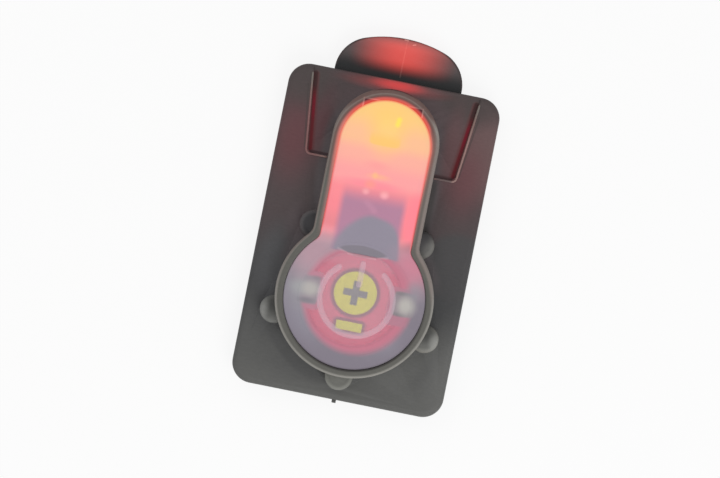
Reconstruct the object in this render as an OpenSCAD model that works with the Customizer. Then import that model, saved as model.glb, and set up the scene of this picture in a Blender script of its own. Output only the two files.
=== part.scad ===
// LED safety flare: a light module held in a soft rubber card with a hook-tape back.
// Millimetres. +Z points out of the front, +Y runs from the round head to the pull tab.
// Z is 0 at the tips of the hook tape, and the overall length is centred on Y.

/* [Card] */
// Width of the rubber card
card_w = 41; // [40:0.5:46]
// Length of the rubber card, without tab and moulding nub
card_l = 62; // [62:0.5:70]
// Thickness of the card
card_t = 3.2; // [3:0.1:3.5]
// Corner radius of the card, in plan
card_corner_r = 4; // [3:0.25:6]
// Rounding of the card's front edge
card_edge_r = 1.25; // [0.8:0.05:1.4]
// Height of the light's round head above the card's lower end
head_rise = 19.7; // [19.5:0.1:21]
// Reach of the moulding nub below the card
nub_out = 0.6; // [0.4:0.1:1]
// Width of the moulding nub
nub_w = 0.8; // [0.6:0.1:1.2]

/* [Pull tab] */
// Width of the tab
tab_w = 24.7; // [22:0.1:26]
// Reach of the tab above the card
tab_l = 8.25; // [8:0.05:9]
// Thickness of the tab
tab_t = 1.4; // [1.2:0.1:1.6]
// Radius of the tab's shoulders
tab_shoulder_r = 6.95; // [6:0.05:7]
// Height of the shoulders' centres above the card
tab_shoulder_y = 0.4; // [0.2:0.1:0.8]
// Rounding of the tab's front edge
tab_edge_r = 0.5; // [0.3:0.1:0.6]

/* [Lens outline] */
// Radius of the lens head inside the collar's lip
lens_head_r = 13.52; // [13.4:0.01:13.6]
// Half width of the lens stem inside the lip
lens_stem_r = 8.75; // [8.6:0.01:8.8]
// Fillet between the lens head and stem
lens_neck_r = 1.85; // [1.75:0.01:2.5]
// Distance from the head's centre to the lens's end arc
lens_reach = 29.5; // [29:0.1:29.6]
// Thickness of the lens's front
lens_t = 0.95; // [0.9:0.05:1.1]
// Rounding of the lens's front edge
lens_edge_r = 0.6; // [0.4:0.1:0.7]

/* [Collar] */
// Width of the rim round the lens head
rim_head_w = 1.58; // [1.4:0.01:1.8]
// Width of the rim beside the lens stem
rim_side_w = 1.47; // [1.4:0.01:1.7]
// Extra width of the rim at the stem's end
rim_end_more = 0.7; // [0.4:0.1:1]
// Fillet between the collar's head and stem, outside
collar_neck_r = 2.59; // [2.4:0.01:3.5]
// Height of the collar above the lens
lens_drop = 0.2; // [0.1:0.05:0.4]
// Overhang of the lip over the lens flange
lip_over = 0.6; // [0.5:0.05:0.7]
// Thickness of the lip
lip_t = 1.2; // [1.1:0.05:1.3]
// Rounding of the collar's outer edge
collar_edge_r = 0.8; // [0.4:0.1:0.9]
// Rounding of the lip's inner edge
lip_edge_r = 0.3; // [0.2:0.05:0.4]

/* [Grip bumps] */
// Radius of each bump
bump_r = 2.7; // [2.4:0.1:2.9]
// Height of each bump above the card
bump_rise = 2.5; // [2:0.1:3]
// Rounding of each bump's top
bump_edge_r = 1; // [0.6:0.1:1.2]

/* [Button] */
// Radius of the round button pad
pad_r = 10.6; // [10.5:0.05:10.65]
// How far the button goes down
button_travel = 0.3; // [0.2:0.05:0.35]
// Outer radius of the power ring on the pad
ring_r = 7.5; // [7:0.1:8]
// Width of the ring's line
ring_w = 1.3; // [1:0.1:1.5]
// Width of the symbol's bar
bar_w = 1.2; // [1:0.1:1.5]
// Height of the symbol above the pad
symbol_rise = 0.2; // [0.1:0.05:0.2]
// Radius of the red disc under the pad
disc_r = 10; // [9.8:0.1:10]
// Thickness of the red disc
disc_t = 0.75; // [0.6:0.05:0.9]
// Distance from the red disc's centre to its flat
disc_flat_y = 8.5; // [8:0.1:9]
// Radius of the yellow emblem
emblem_r = 4.1; // [3.5:0.1:4.5]

/* [Circuit] */
// Thickness of the circuit board
board_t = 0.8; // [0.6:0.1:1]
// Width of the switch
switch_w = 4.5; // [4:0.1:5]
// Height of the switch's body
switch_h = 0.8; // [0.7:0.1:1]
// Width of the lamp's package
led_w = 5; // [4.5:0.1:5.4]
// Height of the lamp's package
led_h = 0.9; // [0.8:0.1:1.1]

/* [Inner frame] */
// Width of the block under the lens stem
block_w = 12.6; // [12:0.1:13.4]
// Reach of the block beyond the frame's ring
block_reach = 7.5; // [7:0.1:8]
// Thickness of the frame's floor
frame_floor_t = 0.8; // [0.7:0.05:0.85]

/* [Cell and door] */
// Diameter of the coin cell
cell_d = 20; // [19.6:0.05:20.2]
// Height of the coin cell
cell_h = 3.2; // [2.5:0.05:3.4]
// Thickness of the battery door's flange
door_t = 1.2; // [1.1:0.1:1.3]
// Wall of the door's threaded plug
plug_wall = 1; // [0.8:0.05:1.05]
// Radius of the seal's round section
seal_tube_r = 0.42; // [0.38:0.01:0.45]
// Width of the door's flange outside the seal's seat
door_land_w = 0.55; // [0.4:0.05:0.6]

/* [Hook patch] */
// Thickness of the hook tape
patch_t = 1.6; // [1.4:0.1:1.8]
// Thickness of the glue under the tape
glue_t = 0.2; // [0.1:0.05:0.2]
// Margin between the tape and the card's side edges
patch_margin = 2; // [1.5:0.25:3]
// Corner radius of the tape
patch_corner_r = 3; // [2:0.5:4]
// Gap between the tape and the battery door
patch_gap = 0.4; // [0.3:0.05:0.5]

/* [Hidden] */
$fn = 72;
through = 20;

// Clearances: between fixed pieces that fit, and where a piece slips in
fit = 0.1;
slip = 0.2;

// Lengthwise places, with the overall length centred
overall_l = nub_out + card_l + tab_l;
card_bottom_y = nub_out - overall_l / 2;
card_top_y = card_bottom_y + card_l;
card_y = (card_bottom_y + card_top_y) / 2;
head_y = card_bottom_y + head_rise;

// Heights, from the hook tips up through the cell, board, switch, disc and lens
card_z = patch_t + glue_t;
card_top_z = card_z + card_t;
cell_top_z = card_z + fit + cell_h;
leaf_room = 0.8;
board_z = cell_top_z + leaf_room;
board_top_z = board_z + board_t;
switch_cover_t = 0.1;
disc_z = board_top_z + switch_h + switch_cover_t + button_travel + fit;
disc_top_z = disc_z + disc_t;
lens_roof_z = disc_top_z + fit;
lens_top_z = lens_roof_z + lens_t;
collar_top_z = lens_top_z + lens_drop;
lip_z = collar_top_z - lip_t;

// The keyhole outlines of the module's pieces, as distances from the lens edge at the lip
module_out = lip_over - fit;
lens_wall_out = -0.08;
lens_wall_t = 0.92;
cavity_out = lens_wall_out - lens_wall_t;
board_out = cavity_out - fit;
board_seat_out = board_out + slip;

// Collar's outer outline
collar_head_r = lens_head_r + rim_head_w;
collar_stem_r = lens_stem_r + rim_side_w;
collar_reach = lens_reach + rim_end_more;

// Tab: the wide end arc touches both shoulder arcs
tab_dx = tab_w / 2 - tab_shoulder_r;
tab_dy = tab_l - tab_shoulder_y;
tab_end_r = (tab_dx * tab_dx + tab_dy * tab_dy - tab_shoulder_r * tab_shoulder_r)
    / (2 * (tab_dy - tab_shoulder_r));

// Recess in the card's front, either side of the stem
recess_t = 0.45;
recess_side_margin = 4.15;
recess_taper = 1.95;
recess_low_y = 25.5;
recess_corner = 0.9;

// Bumps: angle round the head, and distance of the centre from the collar's edge
bump_places = [[-90, -0.1], [-18.6, 0.3], [50.2, 1.05], [129.8, 1.05], [198.6, 0.3]];

// Button
pad_flex_t = 0.65;
pad_core_r = pad_r - 0.55;
ring_gap_a = 53;
bar_ends = [2.7, 7];
emblem_t = 0.1;
emblem_y = 1.1;
minus_size = [5, 1.7];
minus_y = -5.3;
plus_size = [4.6, 1.3];

// Contacts
clip_w = 3;
clip_t = 0.3;
clip_drop = 2.1;
clip_fold = 2.8;
clip_x = cell_d / 2 + fit;
clip_in_x = clip_x + clip_t - clip_fold;
leaf_t = 0.15;
leaf_w = 2.4;
leaf_curl = 0.25;
leaf_xs = [-6.6, -5.5, -1, 4.5];

// Inner frame
frame_r = lens_head_r + cavity_out - slip;
frame_well_r = disc_r + 0.3;
frame_top_z = lens_roof_z - fit / 2;
block_end_y = frame_r + block_reach;
block_corner_r = 1.2;
block_wall = 1;
block_roof_t = 0.8;

// Module screws
screw_r = 0.75;
screw_head_r = 1.4;
screw_head_t = 0.8;
screw_cover = 0.8;
post_r = 2.4;
block_post_r = 1.8;
screw_x = block_w / 2 - 1.7;
screw_y = block_end_y - 3.05;
screw_spots = [[-screw_x, screw_y], [screw_x, screw_y]];

// Door, from the cell outwards: plug, seal, seat and flange
plug_r = cell_d / 2 + 0.3 + plug_wall;
seal_r = plug_r + 0.08 + seal_tube_r;
seal_seat_r = seal_r + seal_tube_r + 0.03;
seal_seat_t = 2 * seal_tube_r + 0.06;
door_r = seal_seat_r + door_land_w;
patch_hole_r = door_r + patch_gap;
thread_t = 1;
plug_h = seal_seat_t + thread_t - slip;
coin_slot = [14, 2, 0.7];
door_grips = 12;
door_grip_r = 0.6;
bay_r = cell_d / 2 + 0.35;

// Chassis
chassis_floor_t = 1.2;
chassis_wall = 1.25;
chassis_rib_w = 0.8;

// Coin cell
cell_crimp_r = cell_d / 2 - 0.6;
cell_gasket_w = 0.35;
cell_cap_h = 0.8;
cell_cap_rise = 0.15;

// Switch
switch_floor_t = 0.15;
switch_well_r = 1.75;
plunger_r = 1.05;
plunger_flange_r = 1.5;
plunger_flange_t = 0.13;
dome_r = 1.5;
dome_skin = 0.08;
dome_h = switch_h - switch_floor_t - plunger_flange_t - 0.07;

// Lamp and small parts on the board, from the head's centre
led_y = lens_reach + 3.5;
led_well_r = 2;
led_dome_h = 0.8;
chip_size = [1.25, 2];
resistor_h = 0.5;
capacitor_h = 0.85;
resistor_rise = 1.3;
capacitor_rise = 4.4;
capacitor_wall_gap = 3.15;
resistor_spots = [for (x = [-1.6, 2]) [x, block_end_y + resistor_rise]];
side_x = lens_stem_r - capacitor_wall_gap;
side_y = lens_reach - 0.5;
capacitor_spots = [[-0.5, block_end_y + capacitor_rise], [-side_x, side_y], [side_x, side_y]];
driver_size = [2.9, 1.6, 1.1];
driver_y = frame_r + 2.7;

// ---- Shapes ----

// Quarter disc between the two axes
module quarter(r) {
    intersection() {
        circle(r);
        square(r);
    }
}

// Half section from the axis to r: its top corner is rounded by e, or flares out when e is negative
module section(r, h, e = 0) {
    if (e > 0) {
        square([r - e, h]);
        square([r, h - e]);
        translate([r - e, h - e]) quarter(e);
    } else {
        square([r, h]);
    }
    if (e < 0) {
        translate([r, h + e]) difference() {
            square(-e);
            translate([-e, 0]) circle(-e);
        }
    }
}

// Turned disc with a rounded top edge
module puck(r, h, e = 0) {
    rotate_extrude() section(r, h, e);
}

// Straight bar along Y, from y0 to y1, with the section on both sides
module bar(y0, y1, r, h, e = 0) {
    translate([0, y1, 0]) rotate([90, 0, 0]) linear_extrude(y1 - y0) {
        section(r, h, e);
        mirror([1, 0]) section(r, h, e);
    }
}

// Keyhole plate: a round head at the origin, and a stem along Y that ends in an arc.
// The head stops at the lines to the neck fillets' centres, where the neck takes over.
module keyhole(head_r, stem_r, neck_r, reach, h, e = 0) {
    neck_x = stem_r + neck_r;
    neck_y = sqrt(pow(head_r + neck_r, 2) - neck_x * neck_x);
    neck = [[0, 0], [neck_x, neck_y], [-neck_x, neck_y]];
    difference() {
        puck(head_r, h, e);
        translate([0, 0, -1]) linear_extrude(h + 2) polygon(2 * neck);
    }
    difference() {
        linear_extrude(h) polygon(neck);
        for (s = [-1, 1]) translate([s * neck_x, neck_y, 0]) puck(neck_r, h, -e);
    }
    bar(neck_y, reach, stem_r, h, e);
    translate([0, reach, 0]) rotate_extrude(angle = 180) section(stem_r, h, e);
}

// Keyhole of the lens outline, grown outwards by d
module lens_keyhole(d, h, e = 0) {
    keyhole(lens_head_r + d, lens_stem_r + d, lens_neck_r - d, lens_reach, h, e);
}

// Slab with round corners in plan and a rounded front edge, centred in plan
module round_slab(w, l, h, r, e = 0) {
    bar(r - l / 2, l / 2 - r, w / 2, h, e);
    for (turn = [0, 180]) rotate([0, 0, turn]) translate([0, l / 2 - r, 0]) {
        translate([r - w / 2, 0, 0]) rotate([90, 0, 90]) linear_extrude(w - 2 * r) section(r, h, e);
        translate([w / 2 - r, 0, 0]) rotate_extrude(angle = 90) section(r, h, e);
        translate([r - w / 2, 0, 0]) rotate([0, 0, 90]) rotate_extrude(angle = 90) section(r, h, e);
    }
}

// Flat block on the board, centred at a place from the head's centre
module on_board(place, size) {
    translate([place.x - size.x / 2, head_y + place.y - size.y / 2, board_top_z]) cube(size);
}

// Chip part with a metal cap at each end
module chip_part(place, size, cap) {
    on_board(place, [size.x - 2 * slip, size.y - 2 * cap, size.z]);
    for (s = [-1, 1])
        on_board([place.x, place.y + s * (size.y - cap) / 2], [size.x, cap, size.z + 0.05]);
}

// Moves children to the head's centre, at height z
module at_head(z) {
    translate([0, head_y, z]) children();
}

// Children as they are, and turned half way round
module both_sides() {
    for (turn = [0, 180]) rotate([0, 0, turn]) children();
}

// Children at each screw's place, at height z
module at_screws(z) {
    at_head(z) for (p = screw_spots) translate([p.x, p.y, 0]) children();
}

// ---- Card and its back ----

module tab() {
    // The end arc's centre lies this far below the shoulders' centres
    end_dy = tab_end_r - tab_dy;
    far = 2 * tab_w;
    translate([0, card_top_y + tab_shoulder_y, card_z]) {
        bar(-card_corner_r, 0, tab_w / 2, tab_t, tab_edge_r);
        for (s = [0, 1]) mirror([s, 0]) translate([tab_dx, 0, 0]) intersection() {
            puck(tab_shoulder_r, tab_t, tab_edge_r);
            linear_extrude(tab_t) polygon([[0, 0], [far, 0], [far, end_dy], [tab_dx, end_dy]]);
        }
        translate([0, -end_dy, 0]) intersection() {
            puck(tab_end_r, tab_t, tab_edge_r);
            linear_extrude(tab_t) polygon([[0, 0], [2 * tab_dx, 2 * end_dy], [-2 * tab_dx, 2 * end_dy]]);
        }
    }
}

module recess() {
    top = [card_w / 2 - recess_side_margin, card_top_y + 1];
    low = [top.x - recess_taper, head_y + recess_low_y];
    side = [top, [low.x, low.y + recess_corner], [low.x - recess_corner, low.y]];
    translate([0, 0, card_top_z - recess_t]) linear_extrude(through)
        polygon(concat(side, [for (i = [2:-1:0]) [-side[i].x, side[i].y]]));
}

module bumps() {
    at_head(card_top_z - bump_edge_r) for (place = bump_places)
        rotate([0, 0, place[0]]) translate([collar_head_r + place[1], 0, 0])
            puck(bump_r, bump_rise + bump_edge_r, bump_edge_r);
}

module carrier() {
    color("#7a2420") difference() {
        union() {
            difference() {
                translate([0, card_y, card_z])
                    round_slab(card_w, card_l, card_t, card_corner_r, card_edge_r);
                recess();
            }
            tab();
            bumps();
            translate([-nub_w / 2, card_bottom_y - nub_out, card_z + nub_w])
                cube([nub_w, nub_out + card_edge_r, nub_w]);
            at_head(card_z)
                keyhole(collar_head_r, collar_stem_r, collar_neck_r, collar_reach,
                        collar_top_z - card_z, collar_edge_r);
        }
        at_head(card_z - 1) lens_keyhole(lip_over, lip_z - card_z + 1);
        at_head(lip_z - 1) lens_keyhole(0, lip_t + 1, -lip_edge_r);
    }
}

module patch_sheet(z, t) {
    difference() {
        translate([0, card_y, z])
            round_slab(card_w - 2 * patch_margin, card_l - 2 * patch_margin - 1, t, patch_corner_r);
        at_head(z - 1) cylinder(r = patch_hole_r, h = t + 2);
    }
}

module hook_patch() {
    color("#1c1c1e") patch_sheet(0, patch_t);
}

module patch_adhesive() {
    color("#b9b4a4") patch_sheet(patch_t, glue_t);
}

// ---- Lens and button ----

module lens() {
    color("#e8dfe2") at_head(board_top_z) difference() {
        union() {
            lens_keyhole(module_out, lip_z - board_top_z - fit / 2);
            lens_keyhole(lens_wall_out, lens_top_z - board_top_z, lens_edge_r);
        }
        translate([0, 0, -1]) lens_keyhole(cavity_out, lens_roof_z - board_top_z + 1);
        cylinder(r = pad_r + fit, h = through);
    }
}

module button_pad() {
    color("#f1ecef") at_head(0) {
        translate([0, 0, lens_top_z - pad_flex_t]) puck(pad_r, pad_flex_t, pad_flex_t / 3);
        translate([0, 0, lens_roof_z]) cylinder(r = pad_core_r, h = lens_t - pad_flex_t);
        translate([0, 0, lens_top_z - symbol_rise]) power_symbol(2 * symbol_rise);
    }
}

module power_symbol(h) {
    rotate([0, 0, 180 - ring_gap_a]) rotate_extrude(angle = 180 + 2 * ring_gap_a)
        translate([ring_r - ring_w, 0]) square([ring_w, h]);
    translate([-bar_w / 2, bar_ends[0], 0]) cube([bar_w, bar_ends[1] - bar_ends[0], h]);
}

module button_disc() {
    notch_w = clip_w + 2;
    color("#c9202c") at_head(disc_z) difference() {
        puck(disc_r, disc_t, disc_t / 5);
        translate([-disc_r, disc_flat_y, -1]) cube([2 * disc_r, disc_r, disc_t + 2]);
        both_sides() translate([clip_in_x - 2 * slip, -notch_w / 2, -1])
            cube([disc_r, notch_w, disc_t + 2]);
        translate([0, 0, disc_t - emblem_t]) {
            translate([0, emblem_y, 0]) cylinder(r = emblem_r, h = 1);
            minus_bar(1);
        }
    }
}

module minus_bar(h) {
    translate([-minus_size.x / 2, minus_y - minus_size.y / 2, 0]) cube([minus_size.x, minus_size.y, h]);
}

module plus_bars(h) {
    for (turn = [0, 90]) translate([0, emblem_y, h / 2]) rotate([0, 0, turn])
        cube([plus_size.x, plus_size.y, h], center = true);
}

module emblem() {
    color("#e8d23a") at_head(disc_top_z - emblem_t) {
        difference() {
            translate([0, emblem_y, 0]) cylinder(r = emblem_r, h = emblem_t);
            translate([0, 0, -1]) plus_bars(emblem_t + 2);
        }
        minus_bar(emblem_t);
    }
}

module emblem_bars() {
    color("#3a3a3c") at_head(disc_top_z - emblem_t) plus_bars(emblem_t);
}

// ---- Inside the module ----

module inner_frame() {
    frame_h = frame_top_z - board_top_z;
    color("#b9a9c6") difference() {
        at_head(board_top_z) {
            cylinder(r = frame_r, h = frame_h);
            translate([0, block_end_y / 2, 0]) round_slab(block_w, block_end_y, frame_h, block_corner_r);
        }
        at_head(board_top_z + frame_floor_t) cylinder(r = frame_well_r, h = through);
        at_head(board_top_z - 1) {
            cylinder(r = switch_w / sqrt(2) + slip, h = through);
            both_sides() translate([clip_in_x - slip, -clip_w / 2 - slip, 0])
                cube([clip_fold + 2 * slip, clip_w + 2 * slip, 1 + 2 * frame_floor_t]);
        }
        difference() {
            at_head(board_top_z - 1) translate([-block_w / 2 + block_wall, frame_r, 0])
                cube([block_w - 2 * block_wall, block_reach - block_wall, 1 + frame_h - block_roof_t]);
            at_screws(0) cylinder(r = block_post_r, h = through);
        }
        at_screws(0) cylinder(r = screw_r + fit / 2, h = frame_top_z - screw_cover / 2);
    }
}

module circuit_board() {
    color("#e9e6df") difference() {
        at_head(board_z) lens_keyhole(board_out, board_t);
        at_head(board_z - 1) both_sides() translate([clip_x - fit / 2, -clip_w / 2 - fit, 0])
            cube([clip_t + fit, clip_w + 2 * fit, board_t + 2]);
        at_screws(board_z - 1) cylinder(r = screw_r + fit, h = board_t + 2);
    }
}

module led_package() {
    color("#f4f2ea") difference() {
        on_board([0, led_y], [led_w, led_w, led_h]);
        at_head(board_top_z + led_h / 2) translate([0, led_y, 0]) cylinder(r = led_well_r, h = led_h);
    }
}

module led_dome() {
    base_r = led_well_r - fit;
    ball_r = (base_r * base_r + led_dome_h * led_dome_h) / (2 * led_dome_h);
    color("#f5c518") at_head(board_top_z + led_h / 2) translate([0, led_y, 0]) {
        cylinder(r = base_r, h = led_h / 2);
        intersection() {
            translate([0, 0, led_h / 2 + led_dome_h - ball_r]) sphere(ball_r);
            translate([0, 0, led_h / 2]) cylinder(r = base_r + 1, h = led_dome_h + 1);
        }
    }
}

module positive_contacts() {
    color("#d8d4c4") at_head(0) both_sides() {
        translate([clip_x, -clip_w / 2, board_z - clip_drop])
            cube([clip_t, clip_w, clip_drop + board_t + clip_t]);
        translate([clip_in_x, -clip_w / 2, board_top_z]) cube([clip_fold, clip_w, clip_t]);
    }
}

module negative_contact() {
    // Lower edge of the bent leaf, from its free end to its foot under the board
    tip_z = cell_top_z + 0.02;
    foot_z = board_z - leaf_t;
    zs = [tip_z + leaf_curl, tip_z, foot_z, foot_z];
    low = [for (i = [0:3]) [leaf_xs[i], zs[i]]];
    color("#d8d4c4") translate([0, head_y + leaf_w / 2, 0]) rotate([90, 0, 0]) linear_extrude(leaf_w)
        polygon(concat(low, [for (i = [3:-1:0]) low[i] + [0, leaf_t]]));
}

module switch_body() {
    color("#2b2b2e") difference() {
        on_board([0, 0], [switch_w, switch_w, switch_h]);
        at_head(board_top_z + switch_floor_t) cylinder(r = switch_well_r, h = switch_h);
    }
}

module switch_cover() {
    color("#c8c8c8") at_head(board_top_z + switch_h) difference() {
        translate([-switch_w / 2, -switch_w / 2, 0]) cube([switch_w, switch_w, switch_cover_t]);
        translate([0, 0, -1]) cylinder(r = plunger_r + 0.15, h = 2);
    }
}

module switch_plunger() {
    flange_z = board_top_z + switch_h - plunger_flange_t - 0.03;
    color("#1d1d20") at_head(flange_z) {
        cylinder(r = plunger_flange_r, h = plunger_flange_t);
        cylinder(r = plunger_r, h = disc_z - 0.02 - flange_z);
    }
}

module switch_dome() {
    // Shallow spring cap: two spheres through the same rim
    ball_r = (dome_r * dome_r + dome_h * dome_h) / (2 * dome_h);
    color("#cfd2d4") at_head(board_top_z + switch_floor_t + 0.02) intersection() {
        difference() {
            translate([0, 0, dome_h - ball_r]) sphere(ball_r);
            translate([0, 0, dome_h - ball_r - dome_skin]) sphere(ball_r);
        }
        cylinder(r = dome_r + 1, h = dome_h + 1);
    }
}

module driver_chip() {
    leg = [0.4, 0.7, 0.2];
    color("#232326") {
        on_board([0, driver_y], driver_size);
        for (x = [-0.95, 0, 0.95], s = [-1, 1])
            on_board([x, driver_y + s * (driver_size.y / 2 + 0.3)], leg);
    }
}

module resistors() {
    color("#3d3f44") for (p = resistor_spots) chip_part(p, [chip_size.x, chip_size.y, resistor_h], 0.4);
}

module capacitors() {
    color("#b08a5a") for (p = capacitor_spots) chip_part(p, [chip_size.x, chip_size.y, capacitor_h], 0.45);
}

// ---- Coin cell ----

module cell_can() {
    can_h = cell_h - cell_cap_rise;
    color("#cfcfd1") at_head(0) difference() {
        translate([0, 0, cell_top_z - cell_cap_rise]) mirror([0, 0, 1]) puck(cell_d / 2, can_h, 0.4);
        translate([0, 0, cell_top_z - cell_cap_h]) cylinder(r = cell_crimp_r, h = through);
    }
}

module cell_gasket() {
    color("#8a8f7c") at_head(cell_top_z - cell_cap_h) difference() {
        cylinder(r = cell_crimp_r, h = cell_cap_h - cell_cap_rise);
        translate([0, 0, -1]) cylinder(r = cell_crimp_r - cell_gasket_w, h = through);
    }
}

module cell_cap() {
    color("#c4c4c8") at_head(cell_top_z - cell_cap_h)
        puck(cell_crimp_r - cell_gasket_w, cell_cap_h, 0.2);
}

// ---- Chassis, door and fasteners ----

// Hollow under the lamp's end of the board, left open round the screw posts and ribs
module chassis_hollow() {
    side = lens_stem_r + module_out - 2 * chassis_wall;
    low_y = seal_seat_r + chassis_wall;
    difference() {
        at_head(card_z + chassis_floor_t) {
            bar(low_y, lens_reach, side, through);
            translate([0, lens_reach, 0]) cylinder(r = side, h = through);
        }
        at_screws(0) cylinder(r = post_r, h = board_z);
        for (y = [screw_y + post_r + 2, lens_reach])
            at_head(board_z / 2) translate([0, y, 0]) cube([through, chassis_rib_w, board_z], center = true);
    }
}

module chassis() {
    color("#232325") difference() {
        at_head(card_z) lens_keyhole(module_out, board_top_z - card_z);
        at_head(board_z) lens_keyhole(board_seat_out, board_t + 1);
        at_head(card_z - 1) cylinder(r = seal_seat_r, h = 1 + seal_seat_t);
        at_head(card_z) cylinder(r = plug_r + fit, h = seal_seat_t + thread_t);
        at_head(card_z) cylinder(r = bay_r, h = through);
        at_head(board_z - clip_drop - fit) both_sides()
            translate([clip_x - slip, -clip_w / 2 - slip, 0])
                cube([clip_t + 2 * slip, clip_w + 2 * slip, clip_drop + 1]);
        chassis_hollow();
        at_screws(card_z - 1) {
            cylinder(r = screw_r + fit, h = through);
            cylinder(r = screw_head_r + slip, h = 1 + slip + screw_head_t);
        }
    }
}

module battery_door() {
    color("#1b1b1d") at_head(card_z - door_t) difference() {
        union() {
            cylinder(r = door_r, h = door_t);
            cylinder(r = plug_r, h = door_t + plug_h);
        }
        translate([0, 0, door_t]) cylinder(r = plug_r - plug_wall, h = plug_h + 1);
        translate([-coin_slot.x / 2, -coin_slot.y / 2, -1])
            cube([coin_slot.x, coin_slot.y, coin_slot.z + 1]);
        for (i = [0:door_grips - 1]) rotate([0, 0, (i + 0.5) * 360 / door_grips])
            translate([door_r + slip, 0, -1]) cylinder(r = door_grip_r, h = door_t + 2);
    }
}

module door_seal() {
    color("#4a4d52") at_head(card_z + seal_seat_t / 2) rotate_extrude()
        translate([seal_r, 0]) circle(seal_tube_r);
}

module chassis_screws() {
    head_z = card_z + slip;
    shank_h = frame_top_z - screw_cover - head_z;
    color("#9a9ca0") at_screws(head_z) difference() {
        union() {
            cylinder(r = screw_head_r, h = screw_head_t);
            cylinder(r = screw_r, h = shank_h);
        }
        for (turn = [0, 90]) rotate([0, 0, turn]) cube([1.6, 0.35, 0.8], center = true);
    }
}

carrier();
hook_patch();
patch_adhesive();
lens();
button_pad();
button_disc();
emblem();
emblem_bars();
inner_frame();
circuit_board();
led_package();
led_dome();
positive_contacts();
negative_contact();
switch_body();
switch_cover();
switch_plunger();
switch_dome();
driver_chip();
resistors();
capacitors();
cell_can();
cell_gasket();
cell_cap();
chassis();
battery_door();
door_seal();
chassis_screws();
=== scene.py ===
import math
import random
import bmesh
import bpy
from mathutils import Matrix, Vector


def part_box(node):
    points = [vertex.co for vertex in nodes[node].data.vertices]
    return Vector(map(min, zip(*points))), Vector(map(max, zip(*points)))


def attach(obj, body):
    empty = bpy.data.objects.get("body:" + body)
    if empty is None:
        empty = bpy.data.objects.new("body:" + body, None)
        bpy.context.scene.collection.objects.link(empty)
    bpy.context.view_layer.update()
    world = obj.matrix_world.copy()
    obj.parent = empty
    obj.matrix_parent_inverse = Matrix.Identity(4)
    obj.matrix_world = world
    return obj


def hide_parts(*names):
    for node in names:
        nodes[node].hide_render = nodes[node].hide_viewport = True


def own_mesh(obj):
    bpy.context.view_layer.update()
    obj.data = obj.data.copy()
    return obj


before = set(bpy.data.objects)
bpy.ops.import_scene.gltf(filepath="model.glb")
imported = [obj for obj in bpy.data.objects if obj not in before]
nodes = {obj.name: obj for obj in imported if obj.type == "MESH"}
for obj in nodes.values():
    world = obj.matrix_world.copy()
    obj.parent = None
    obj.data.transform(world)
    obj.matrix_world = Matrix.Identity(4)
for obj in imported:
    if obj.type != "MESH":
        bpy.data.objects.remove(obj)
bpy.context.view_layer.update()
mm = 0.001
cellLow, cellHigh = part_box("cell_can")
lensLow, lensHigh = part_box("lens")
tapeLow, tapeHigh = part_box("hook_patch")
headY = (cellLow.y + cellHigh.y) / 2    # middle of the round head, on x = 0
lensTop = lensHigh.z / mm
cardTop = 5.0           # mm, the flat of the rubber card
print("stage: frame loaded, head at y", round(headY / mm, 3))

camera = {
    "turn": 11.35,              # degrees the object leans to the right in the view
    "aimX": -1.16,              # mm, the point under the middle of the view
    "aimY": -3.79,
    "aimZ": 6.0,
    "viewWidth": 136.98,        # mm across the view
    "lens": 220,
    "sensor": 36,
    "clipNear": 0.1,            # shares of the camera's distance
    "clipFar": 20,
}
light = {
    "ambient": 0.56,            # light from all round, 1 would be a white room
    "lamps": {                  # watts, metres across, and where it stands in metres
        "keyLamp": (1.25, 0.42, (0.24, -0.34, 0.42)),
        "fillLamp": (0.5, 0.5, (-0.35, 0.30, 0.40)),
        "underLamp": (1.6, 0.5, (0.15, -0.2, -0.5)),
    },
    "floorSize": 1.6,
    "floorDrop": 0.02,          # mm below the part, so that nothing lies in the floor's plane
    "floorColour": (0.93, 0.93, 0.93, 1),
    "floorGlow": 0.86,          # share of the floor that is plain white to the camera
}


def newObject(name, data):
    made = bpy.data.objects.new(name, data)
    bpy.context.scene.collection.objects.link(made)
    return made


def makeCamera(p):
    data = bpy.data.cameras.new("mainCamera")
    data.lens = p["lens"]
    data.sensor_width = p["sensor"]
    distance = p["viewWidth"] * mm * p["lens"] / p["sensor"]
    data.clip_start = distance * p["clipNear"]
    data.clip_end = distance * p["clipFar"]
    made = newObject("mainCamera", data)
    made.location = (p["aimX"] * mm, p["aimY"] * mm, p["aimZ"] * mm + distance)
    made.rotation_euler = (0, 0, math.radians(p["turn"]))
    bpy.context.scene.camera = made


def makeLamp(name, power, size, place, target):
    data = bpy.data.lights.new(name, "AREA")
    data.shape = "DISK"
    data.size = size
    data.energy = power
    made = newObject(name, data)
    made.location = place
    made.rotation_euler = (Vector(target) - Vector(place)).to_track_quat("-Z", "Y").to_euler()
    made.visible_camera = False


makeCamera(camera)
for lampName, (power, size, place) in light["lamps"].items():
    makeLamp(lampName, power, size, place, (0, 0, lensHigh.z))
bpy.context.scene.view_settings.view_transform = "Standard"
print("stage: camera and lamps")


def tint(red, green, blue):
    # screen colour, 0 to 255, as the linear colour a shader takes
    parts = [part / 255 for part in (red, green, blue)]
    return (*[p / 12.92 if p <= 0.04045 else ((p + 0.055) / 1.055) ** 2.4 for p in parts], 1)


def feed(tree, socket, value):
    if isinstance(value, bpy.types.NodeSocket):
        tree.links.new(value, socket)
    else:
        socket.default_value = value


def addNode(tree, kind, sockets=None, **settings):
    made = tree.nodes.new(kind)
    for key, value in settings.items():
        setattr(made, key, value)
    for key, value in (sockets or {}).items():
        feed(tree, made.inputs[key], value)
    return made


def calc(tree, operation, *values):
    sockets = dict(enumerate(values))
    return addNode(tree, "ShaderNodeMath", sockets, operation=operation).outputs[0]


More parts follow.
